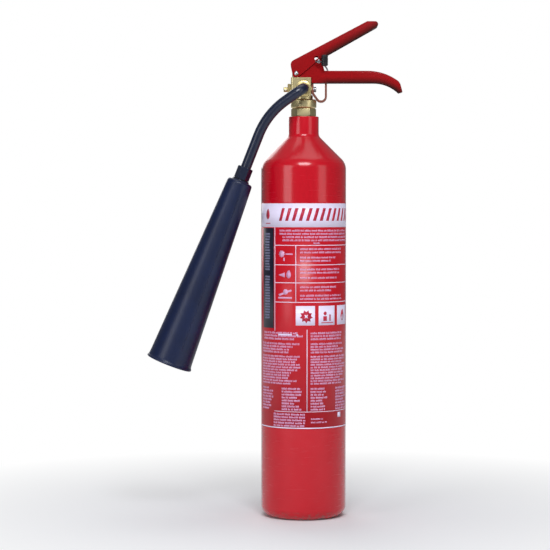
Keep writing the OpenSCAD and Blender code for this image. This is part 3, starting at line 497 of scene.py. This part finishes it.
def bottle_outline():
    """Half outline of the bottle, from the middle of its dished base out, up and back down inside."""
    punt_r = (PUNT_RIM_R ** 2 + PUNT_H ** 2) / (2 * PUNT_H)
    rim = math.degrees(math.acos(PUNT_RIM_R / punt_r))
    base_t = 5
    mouth_r = 0.8
    seat_r, seat_h = THREAD_R + 2.6, 2.4
    thread_foot = NECK_TOP - 25
    return [
        *arc((0, PUNT_H - punt_r), punt_r, 90, rim, 10),
        *arc((BOTTLE_R - BASE_CORNER_R, BASE_CORNER_R), BASE_CORNER_R, -90, 0, 12),
        *arc((BOTTLE_R - SHOULDER_R, SHOULDER_FOOT), SHOULDER_R, 0, 45, 10),
        *arc(BLEND, BLEND_R, 225, 180, 10),
        *arc((NECK_R - mouth_r, NECK_TOP - mouth_r), mouth_r, 0, 90, 4),
        (seat_r, NECK_TOP), (seat_r, NECK_TOP - seat_h), (THREAD_R, NECK_TOP - seat_h),
        (THREAD_R, thread_foot), (NECK_R - 0.7, thread_foot),
        *arc(BLEND, BLEND_R + WALL, 219, 225, 2),
        *arc((BOTTLE_R - SHOULDER_R, SHOULDER_FOOT), SHOULDER_R - WALL, 45, 0, 6),
        *arc((BOTTLE_R - BASE_CORNER_R, BASE_CORNER_R), BASE_CORNER_R - WALL, 0, -70, 6),
        *arc((0, PUNT_H - punt_r), punt_r + base_t, rim + 2, 90, 6),
    ]


def place_on_horn(bm):
    """Moves a piece that was turned about Z onto the horn's axis, its start at the horn's flat top."""
    turn = HORN_WAY.to_track_quat("Z", "Y").to_matrix().to_4x4()
    bmesh.ops.transform(bm, matrix=Matrix.Translation(HORN_TOP) @ turn, verts=bm.verts)


def horn_outline():
    """Closed half outline of the horn's wall, from its boss down to the rolled lip and back inside."""
    lip = 1.5
    lip_c = (HORN_LIP_R - lip, HORN_LENGTH - lip)
    slope = (HORN_MOUTH_R - HORN_TOP_R) / HORN_LENGTH
    return [
        (PIPE_R + 0.02, -1.5), (10, -1.5), (10.5, -1), (10.5, -0.3), (10.9, 0),
        *arc((HORN_TOP_R - 3.2, 3.2), 3.2, -90, -2, 8),
        (HORN_MOUTH_R - 6 * slope, HORN_LENGTH - 7),
        (HORN_MOUTH_R + 0.15, HORN_LENGTH - 4.2),
        *arc(lip_c, lip, -60, 90, 8),
        (HORN_MOUTH_R - HORN_WALL + 0.4, HORN_LENGTH),
        (HORN_MOUTH_R - HORN_WALL, HORN_LENGTH - 0.5),
        (HORN_TOP_R - HORN_WALL + 0.2, 8),
        *arc((HORN_TOP_R - HORN_WALL - 2.8, 7), 3, 0, -90, 5),
        (PIPE_R + 0.02, 4),
    ]


def make_bottle():
    """Seamless bottle."""
    shell = lathe(bottle_outline(), 128)
    made = piece("bottle_shell", shell, "bottle_and_valve", BOTTLE_PAINT)
    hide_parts("bottle")


def make_horn():
    """Moulded horn with its two parting lines."""
    bm = lathe(horn_outline(), 96, closed=True)
    place_on_horn(bm)
    made = piece("horn_shell", bm, "discharge_arm", HORN_PLASTIC, sharp=50)
    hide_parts("horn")
    turn = HORN_WAY.to_track_quat("Z", "Y").to_matrix()
    front = turn.inverted() @ Vector((0.42, -1, 0)).normalized()
    start_angle = math.atan2(front.y, front.x)
    rib_start, rib_end = 12, HORN_LENGTH - 22
    rib_r, sink = 0.55, 0.1
    bm = bmesh.new()
    for side in (0, math.pi):
        ends = []
        for z in (rib_start, rib_end):
            r = HORN_TOP_R + (HORN_MOUTH_R - HORN_TOP_R) * z / HORN_LENGTH
            inset = 0 if z == rib_start else sink
            ring = bmesh.ops.create_circle(bm, cap_ends=True, radius=rib_r * MM, segments=10)["verts"]
            turned = Matrix.Rotation(start_angle + side, 4, "Z")
            place = turned @ Matrix.Translation(((r - inset) * MM, 0, z * MM))
            bmesh.ops.transform(bm, matrix=place, verts=ring)
            ends.append([e for e in bm.edges if all(v in ring for v in e.verts)])
        bmesh.ops.bridge_loops(bm, edges=ends[0] + ends[1])
    bmesh.ops.recalc_face_normals(bm, faces=bm.faces)
    place_on_horn(bm)
    piece("horn_parting_lines", bm, "discharge_arm", HORN_PLASTIC, sharp=60)


# ---------- sheet metal and fittings, rounded from the frame's own shapes ----------

def fold_edges(bm, half_width):
    """Edges where a channel's outer flange turns into its web."""
    found = []
    for edge in bm.edges:
        if len(edge.link_faces) != 2:
            continue
        on_side = all(abs(abs(v.co.y) - half_width) < 0.02 * MM for v in edge.verts)
        sideways = sorted(abs(f.normal.y) for f in edge.link_faces)
        web = min(edge.link_faces, key=lambda f: abs(f.normal.y))
        wide = web.calc_area() / max(edge.calc_length(), 1e-9) > 2 * half_width * 0.8
        if on_side and sideways[0] < 0.05 and sideways[1] > 0.95 and wide:
            found.append(edge)
    return found


def make_channel(name, node_name, body, finish, half_width, radius):
    """A pressed sheet channel: wide bends along its web, thin rounded rims elsewhere."""
    bm = merged_copy(node_name)
    folds = fold_edges(bm, half_width)
    bmesh.ops.bevel(
        bm, geom=folds, offset=radius * MM, offset_type="OFFSET", segments=5, profile=0.5,
        affect="EDGES", clamp_overlap=True, material=-1,
    )
    made = piece(name, bm, body, finish)
    soften(made, 0.6)
    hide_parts(node_name)


def make_rounded(name, node_name, body, finish, width, segments=2, sharp=38):
    """A fitting with its hard edges taken off."""
    made = piece(name, merged_copy(node_name), body, finish, sharp)
    soften(made, width, segments, sharp)
    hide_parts(node_name)


def make_fittings():
    """Levers, valve, loop, pins and nuts."""
    lever_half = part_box("squeeze_lever")[1].y
    handle_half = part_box("carry_handle")[1].y
    make_channel("squeeze_lever_sheet", "squeeze_lever", "lever", LEVER_PAINT, lever_half, 2.2)
    fixed = "bottle_and_valve"
    make_channel("carry_handle_sheet", "carry_handle", fixed, HANDLE_PAINT, handle_half, 2.2)
    make_rounded("valve_casting", "valve_body", fixed, BRASS, 0.45, 3)
    make_rounded("union_nut_turned", "union_nut", fixed, BRASS_DULL, 0.3)
    make_rounded("burst_disc_plug", "burst_disc_nut", fixed, BRASS_DULL, 0.25)
    make_rounded("hanger_strip", "hanger_loop", fixed, LOOP_STEEL, 0.5, 3)
    make_rounded("horn_nut_turned", "horn_nut", "discharge_arm", PIPE_LACQUER, 0.4)
    make_rounded("pipe_tube", "discharge_pipe", "discharge_arm", PIPE_LACQUER, 0.2)
    make_rounded("locking_pin_turned", "safety_pin", "locking_pin", BRIGHT_STEEL, 0.15)
    make_rounded("gas_nozzle", "gas_jet", "discharge_arm", BRASS_DULL, 0.3)


# ---------- tamper seal ----------

def make_seal():
    """Strap through the pin's tip, its bead, and a ribbed barrel that locks it."""
    low = SEAL_LOW / MM
    high = SEAL_HIGH / MM
    barrel_r = (high.y - low.y) / 2
    barrel_x = high.x - barrel_r
    y = (low.y + high.y) / 2
    strap_z = (low.z + high.z) / 2 - 1.2
    strap_y = high.y - 3
    half = (high.z - low.z) / 2
    ribs = 6
    margin = 1.2
    outline = [(0, -half), (barrel_r - 1, -half), (barrel_r - 0.4, 0.5 - half)]
    step = (2 * half - 2 * margin) / ribs
    for i in range(ribs):
        foot = margin - half + i * step
        outline += [(barrel_r - 0.45, foot), (barrel_r, foot + 0.25 * step), (barrel_r, foot + 0.6 * step),
                    (barrel_r - 0.45, foot + 0.85 * step)]
    outline += [(barrel_r - 0.4, half - 0.5), (barrel_r - 1, half), (0, half)]
    bm = lathe(outline, 40)
    bmesh.ops.transform(
        bm, matrix=Matrix.Translation(Vector((barrel_x, y, (low.z + high.z) / 2)) * MM), verts=bm.verts
    )
    made = piece("tamper_seal_barrel", bm, "locking_pin", BLACK_PLASTIC, sharp=30)
    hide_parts("tamper_seal")
    bead = [(0, 0), (1.2, 0), (1.4, 0.3), (1.4, 1.3), (1.2, 1.6), (0.65, 1.6)]
    strap = lathe([*bead, (0.65, barrel_x - low.x)], 24)
    aim = Matrix.Rotation(math.radians(90), 4, "Y")
    bmesh.ops.transform(
        strap, matrix=Matrix.Translation(Vector((low.x, strap_y, strap_z)) * MM) @ aim, verts=strap.verts
    )
    piece("tamper_seal_strap", strap, "locking_pin", BLACK_PLASTIC)


# ---------- label ----------

PRINT_T = 0.04
CUT = math.radians(2.5) * LABEL_R


def shape(bm, points):
    """One flat printed shape; points are millimetres round the bottle from the front, and up."""
    bm.faces.new([bm.verts.new((s, 0, z)) for s, z in points])


def bar(bm, s0, s1, z0, z1):
    """A printed rectangle."""
    shape(bm, [(s0, z0), (s1, z0), (s1, z1), (s0, z1)])


def disc(bm, s, z, radius, steps=20):
    """A printed disc."""
    shape(bm, arc((s, z), radius, 0, 360 - 360 / steps, steps - 1))


def star(bm, s, z, outer, inner, rays):
    """A printed burst with a number of rays."""
    turns = [math.pi * i / rays for i in range(2 * rays)]
    shape(bm, [(s + (outer if i % 2 else inner) * math.sin(a), z + (outer if i % 2 else inner) * math.cos(a))
               for i, a in enumerate(turns)])


def flame(bm, s, z, width, height):
    """A plain flame: a drop that leans to one side."""
    def side(way, t):
        return (s + way * (width / 2 * math.sin(math.pi * t) ** 0.8), z + height * t ** 1.3)

    left = [side(-1, t) for t in (0.9, 0.7, 0.5, 0.3, 0.12)]
    right = [side(1, t) for t in (0.12, 0.3, 0.5, 0.7)]
    shape(bm, [(s + width * 0.15, z + height), *left, (s, z), *right])


def words(bm, s0, s1, z, height):
    """A line of small print: plain blocks stand where letters would."""
    s = s0
    while s < s1 - 2:
        for _ in range(WRITTEN.randint(2, 8)):
            width = WRITTEN.uniform(0.75, 1.3)
            if s + width > s1:
                return
            bar(bm, s, s + width, z, z + height * WRITTEN.choice((0.8, 1, 1)))
            s += width + 0.36
        s += 0.9


def paragraph(bm, s0, s1, top, lines, pitch, height, ragged=0.25):
    """Lines of small print with a ragged right edge."""
    for i in range(lines):
        end = s1 - (s1 - s0) * ragged * WRITTEN.random() ** 2
        words(bm, s0, end, top - (i + 1) * pitch, height)


def wrap(bm, radius, cuts=True):
    """Bends flat artwork round the bottle."""
    if cuts:
        reach = max(abs(v.co.x) for v in bm.verts)
        count = int(reach / CUT) + 1
        for i in range(-count, count + 1):
            every = bm.verts[:] + bm.edges[:] + bm.faces[:]
            bmesh.ops.bisect_plane(bm, geom=every, plane_co=(i * CUT, 0, 0), plane_no=(1, 0, 0), dist=1e-4)
    for vert in bm.verts:
        turn = vert.co.x / LABEL_R
        vert.co = Vector((radius * math.sin(turn), -radius * math.cos(turn), vert.co.z)) * MM


def print_layer(name, bm, finish, lift, thickness=PRINT_T, cuts=True):
    """Finishes one colour of the label's print as a thin closed layer."""
    wrap(bm, LABEL_R + lift, cuts)
    bmesh.ops.recalc_face_normals(bm, faces=bm.faces)
    inward = [f for f in bm.faces if f.normal.xy.dot(f.calc_center_median().xy) < 0]
    bmesh.ops.reverse_faces(bm, faces=inward)
    made = piece(name, bm, "bottle_and_valve", finish)
    body = made.modifiers.new("thickness", "SOLIDIFY")
    body.thickness = thickness * MM
    body.offset = -1
    return made


LEFT_EDGE = -82 / 180 * math.pi * LABEL_R
RIGHT_EDGE = 115 / 180 * math.pi * LABEL_R
BAND_FOOT = 349
PANEL = (-61.8, -38.8)
PANEL_FOOT = 229
RULE = 0.8
FIRST_RULE = 327.6
RULES = (304.5, 283.3, 260.3)
DIVIDER = -9.2
TEXT_START = -4
TEXT_END = 55
SQUARE = 23
SQUARE_STEP = 27.5
SQUARES = [-9.2 + SQUARE_STEP * i for i in range(4)]
SQUARE_FOOT = 233
COLUMN_TOP = 226
COLUMN_FOOT = 131
GUTTER = 4.2
RIGHT_RULE = 71.5


def rounded_film():
    """The film's outline with rounded corners."""
    r = 4
    return [
        *arc((RIGHT_EDGE - r, LABEL_TOP - r), r, 0, 90, 5),
        *arc((LEFT_EDGE + r, LABEL_TOP - r), r, 90, 180, 5),
        *arc((LEFT_EDGE + r, LABEL_FOOT + r), r, 180, 270, 5),
        *arc((RIGHT_EDGE - r, LABEL_FOOT + r), r, 270, 360, 5),
    ]


def white_shapes():
    """Top band, rules, squares and the pale marks of the instruction pictures."""
    bm = bmesh.new()
    edge = 0.8
    shape(bm, [
        (LEFT_EDGE + edge, BAND_FOOT), (RIGHT_EDGE - edge, BAND_FOOT),
        *arc((RIGHT_EDGE - 4, LABEL_TOP - 4), 4 - edge, 0, 90, 4),
        *arc((LEFT_EDGE + 4, LABEL_TOP - 4), 4 - edge, 90, 180, 4),
    ])
    bar(bm, LEFT_EDGE + 3, RIGHT_EDGE - 3, LABEL_FOOT + 0.5, LABEL_FOOT + 1.7)
    bar(bm, -37.7, -36.8, PANEL_FOOT - 3, BAND_FOOT)
    for z in (FIRST_RULE, *RULES):
        bar(bm, -36.8, RIGHT_RULE, z - RULE / 2, z + RULE / 2)
    bar(bm, DIVIDER - RULE / 2, DIVIDER + RULE / 2, RULES[-1], FIRST_RULE)
    bar(bm, GUTTER - RULE / 2, GUTTER + RULE / 2, COLUMN_FOOT, COLUMN_TOP + 2)
    bar(bm, RIGHT_RULE - RULE / 2, RIGHT_RULE + RULE / 2, LABEL_FOOT + 1.7, BAND_FOOT)
    bar(bm, -38, TEXT_END + 14, COLUMN_FOOT - 0.8, COLUMN_FOOT - 0.2)
    for s in SQUARES:
        bar(bm, s, s + SQUARE, SQUARE_FOOT, SQUARE_FOOT + SQUARE)
    bar(bm, 47, 53, 122.5, 128.5)
    bar(bm, -32, -14, 220.6, 222.8)
    disc(bm, -7.5, 221.6, 1.2)
    return bm


def picture_marks():
    """Three small instruction pictures: ring and pin, horn at a flame, hand on the lever."""
    bm = bmesh.new()
    s = -24
    for i, z in enumerate((316, 293.5, 271.5)):
        if i == 0:
            star(bm, s - 3, z + 1.5, 4.4, 3.4, 9)
            bar(bm, s + 2, s + 11, z + 0.4, z + 2)
            bar(bm, s - 1, s + 1, z - 7, z - 3)
        elif i == 1:
            shape(bm, [(s - 8, z - 1), (s + 1, z - 4), (s + 1, z + 2)])
            flame(bm, s + 6, z - 5, 6, 10)
        else:
            shape(bm, [(s - 8, z - 2), (s + 9, z + 4), (s + 10, z + 2), (s - 6, z - 4)])
            bar(bm, s - 8, s + 10, z - 7, z - 5)
            disc(bm, s + 2, z + 1, 3.2)
    return bm


def small_print():
    """All the lines of small print on the red ground."""
    bm = bmesh.new()
    for i, z in enumerate((345.0, 341.2, 337.4, 333.6)):
        words(bm, -30 + 4 * (i > 1), 68, z - 1.2, 2.3)
    words(bm, 12, 20, 329.3, 1.9)
    for top, counts in ((326, (2, 2)), (302, (2, 1)), (281, (2, 2))):
        start = top
        for count in counts:
            paragraph(bm, TEXT_START, TEXT_END, start, count, 3.9, 2.2, 0.45)
            start -= count * 3.9 + 2.2
    for s0, s1 in ((-63, 1), (8.6, 69)):
        paragraph(bm, s0 + 4 * (s0 < 0), s1, COLUMN_TOP, 3, 3.5, 2.4, 0.3)
        paragraph(bm, s0, s1, COLUMN_TOP - 13, 4, 3.3, 2.3, 0.35)
        paragraph(bm, s0, s1 - 3, COLUMN_TOP - 28, 11, 3.2, 2.2, 0.3)
        half = (s1 - s0) / 2
        for k in (0, 1):
            begin = s0 + k * (half + 4)
            paragraph(bm, begin, begin + half - 9 + 4 * k, COLUMN_TOP - 66, 8, 3.5, 2.4, 0.35)
    paragraph(bm, -39, 3, COLUMN_FOOT - 1.5, 5, 3.4, 2.3, 0.1)
    words(bm, 9, 24, 121, 1.9)
    words(bm, 9, 30, 117, 1.9)
    for foot in (RULES[0] + 3, 262, 205, 150):
        paragraph(bm, RIGHT_RULE + 3, RIGHT_EDGE - 4, foot + 20, 6, 3.6, 2.1, 0.3)
    return bm


def grey_print():
    """Two tall made-up words that run up the black panel."""
    bm = bmesh.new()
    for top, count in ((342, 7), (291, 8)):
        for i in range(count):
            z = top - i * 6.5
            width = WRITTEN.choice((9.5, 10.5))
            bar(bm, -56.4, -56.4 + width, z - 5.3, z - 3.2)
            bar(bm, -56.4, -56.4 + width, z - 2.1, z)
    return bm


def red_print():
    """Slanted bars in the band, a flame, and the icons in the squares."""
    bm = bmesh.new()
    lean = 4.5
    for i in range(15):
        s = -31 + i * 8.4
        shape(bm, [(s, 356.5), (s + 3.9, 356.5), (s + 3.9 + lean, 371.5), (s + lean, 371.5)])
    flame(bm, -50, 358, 7.5, 13)
    bar(bm, -55, -45, 353, 354)
    mid = SQUARE_FOOT + SQUARE / 2
    star(bm, SQUARES[0] + 12.5, mid - 1, 8, 5.4, 9)
    centre = SQUARES[1] + SQUARE / 2
    disc(bm, centre - 3, mid + 2.5, 2.2)
    bar(bm, centre - 5.5, centre - 0.5, mid - 6.5, mid - 0.8)
    bar(bm, centre + 3, centre + 5, mid - 6.5, mid + 1)
    bar(bm, centre - 8, centre + 9, mid - 9, mid - 8)
    centre = SQUARES[2] + SQUARE / 2
    flame(bm, centre, mid - 7, 8, 14)
    centre = SQUARES[3] + SQUARE / 2
    for k in range(5):
        bar(bm, centre - 9 + 4 * k, centre - 7.6 + 4 * k, mid - 8, mid + 8)
    return bm


def make_label():
    """Film and its print, one thin layer for each colour."""
    film = bmesh.new()
    shape(film, rounded_film())
    sheet = print_layer("label_film", film, FILM, 0, LABEL_R - BOTTLE_R)
    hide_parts("label")
    print_layer("label_white_shapes", white_shapes(), WHITE_INK, PRINT_T)
    print_layer("label_pictures", picture_marks(), LETTER_INK, PRINT_T)
    print_layer("label_small_print", small_print(), LETTER_INK, PRINT_T, cuts=False)
    panel = bmesh.new()
    bar(panel, PANEL[0], PANEL[1], PANEL_FOOT, BAND_FOOT - 1)
    print_layer("label_black_panel", panel, BLACK_INK, PRINT_T)
    print_layer("label_panel_words", grey_print(), GREY_INK, 2 * PRINT_T)
    print_layer("label_red_print", red_print(), RED_INK, 2 * PRINT_T)
    core = bmesh.new()
    mid = SQUARE_FOOT + SQUARE / 2 - 1
    star(core, SQUARES[0] + 12.5, mid, 3.2, 1.3, 4)
    flame(core, SQUARES[2] + SQUARE / 2, mid - 5, 3.6, 7)
    print_layer("label_icon_centres", core, WHITE_INK, 3 * PRINT_T)


# ---------- finishes of the nodes that stay ----------

def finish_nodes():
    """Gives each node that stays its finish."""
    finishes = {
        "neck_o_ring": SEAL_RUBBER, "stem_o_ring": SEAL_RUBBER, "outlet_o_ring": SEAL_RUBBER,
        "gland_nut": BRASS_DULL, "seat_plunger": BRASS_DULL, "spring_retainer": BRASS_DULL,
        "push_rod": BRIGHT_STEEL, "lever_pin": BRIGHT_STEEL, "pull_ring": BRIGHT_STEEL,
        "burst_disc": BRIGHT_STEEL, "seat_disc": SEAT_PLASTIC, "valve_spring": SPRING_STEEL,
        "dip_tube": ALUMINIUM, "burst_disc_gasket": COPPER, "handle_screw": PLATED_STEEL,
        "handle_screw_washer": PLATED_STEEL, "horn_washer": BLACK_STEEL, "pipe_collar": PIPE_LACQUER,
    }
    for name, finish in finishes.items():
        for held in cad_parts[name].material_slots:
            held.material = finish


# ---------- studio ----------

def make_floor():
    """Pale floor that fades into the white round it."""
    bm = bmesh.new()
    bmesh.ops.create_circle(bm, cap_ends=True, radius=12, segments=96)
    mesh = bpy.data.meshes.new("floor")
    bm.to_mesh(mesh)
    bm.free()
    made, tree, shader = material("floor", Roughness=0.9, Base_Color=(0.86, 0.86, 0.87, 1))
    shader.inputs["Specular IOR Level"].default_value = 0.1
    place = node(tree, "ShaderNodeTexCoord").outputs["Object"]
    far = node(tree, "ShaderNodeVectorMath", {0: place}, operation="LENGTH").outputs["Value"]
    glow = node(tree, "ShaderNodeEmission", {"Color": (1, 1, 1, 1), "Strength": 1.0})
    seen = node(tree, "ShaderNodeLightPath").outputs["Is Camera Ray"]
    fade = math_node(tree, "MULTIPLY", ramp(tree, far, 0.10, 0.62), seen)
    both = node(tree, "ShaderNodeMixShader", {0: fade, 1: shader.outputs[0], 2: glow.outputs[0]})
    tree.links.new(both.outputs[0], tree.nodes["Material Output"].inputs["Surface"])
    mesh.materials.append(made)
    floor = bpy.data.objects.new("floor", mesh)
    bpy.context.collection.objects.link(floor)


def make_world():
    """White surroundings to look at, dimmer ones to light and be mirrored."""
    world = bpy.data.worlds.new("studio")
    bpy.context.scene.world = world
    world.use_nodes = True
    tree = world.node_tree
    tree.nodes.clear()
    seen = node(tree, "ShaderNodeBackground", {"Color": (1, 1, 1, 1), "Strength": 1.0})
    lit = node(tree, "ShaderNodeBackground", {"Color": (0.93, 0.96, 1, 1), "Strength": 0.19})
    path = node(tree, "ShaderNodeLightPath")
    inputs = {0: path.outputs["Is Camera Ray"], 1: lit.outputs[0], 2: seen.outputs[0]}
    both = node(tree, "ShaderNodeMixShader", inputs)
    end = tree.nodes.new("ShaderNodeOutputWorld")
    tree.links.new(both.outputs[0], end.inputs["Surface"])


def make_light(name, at, aim, size, power, colour=(1, 1, 1)):
    """A soft box that faces a point."""
    lamp = bpy.data.lights.new(name, "AREA")
    lamp.shape = "RECTANGLE"
    lamp.size, lamp.size_y = size
    lamp.energy = power
    lamp.color = colour
    holder = bpy.data.objects.new(name, lamp)
    holder.location = at
    holder.rotation_mode = "QUATERNION"
    holder.rotation_quaternion = (Vector(at) - Vector(aim)).to_track_quat("Z", "Y")
    bpy.context.collection.objects.link(holder)


def make_camera():
    """Long lens from a little above the middle of the object."""
    down, left = math.radians(1.98), math.radians(0.87)
    lens = bpy.data.cameras.new("camera")
    lens.lens = 123
    lens.sensor_width = 36
    holder = bpy.data.objects.new("camera", lens)
    holder.location = (0, -2.267, 0.3693)
    look = Vector((-math.sin(left) * math.cos(down), math.cos(left) * math.cos(down), -math.sin(down)))
    holder.rotation_mode = "QUATERNION"
    holder.rotation_quaternion = look.to_track_quat("-Z", "Y")
    bpy.context.collection.objects.link(holder)
    bpy.context.scene.camera = holder


def make_studio():
    """Floor, surroundings, soft boxes and camera."""
    make_floor()
    make_world()
    make_camera()
    middle_of_it = (0, 0, 0.33)
    make_light("key", (0.1, -2.0, 2.0), middle_of_it, (1.2, 0.8), 46, (0.92, 0.95, 1))
    make_light("left", (-1.7, -1.8, 0.7), middle_of_it, (1.0, 1.6), 15, (0.95, 0.97, 1))
    make_light("right", (2.0, -1.6, 0.7), middle_of_it, (1.0, 1.8), 9)
    make_light("top", (0.1, 0.3, 2.4), middle_of_it, (1.6, 1.2), 8)
    make_light("back", (-0.6, 2.2, 1.2), middle_of_it, (1.4, 1.4), 12)
    bpy.context.scene.view_settings.view_transform = "Standard"


make_bottle()
make_horn()
make_fittings()
make_seal()
make_label()
finish_nodes()
make_studio()
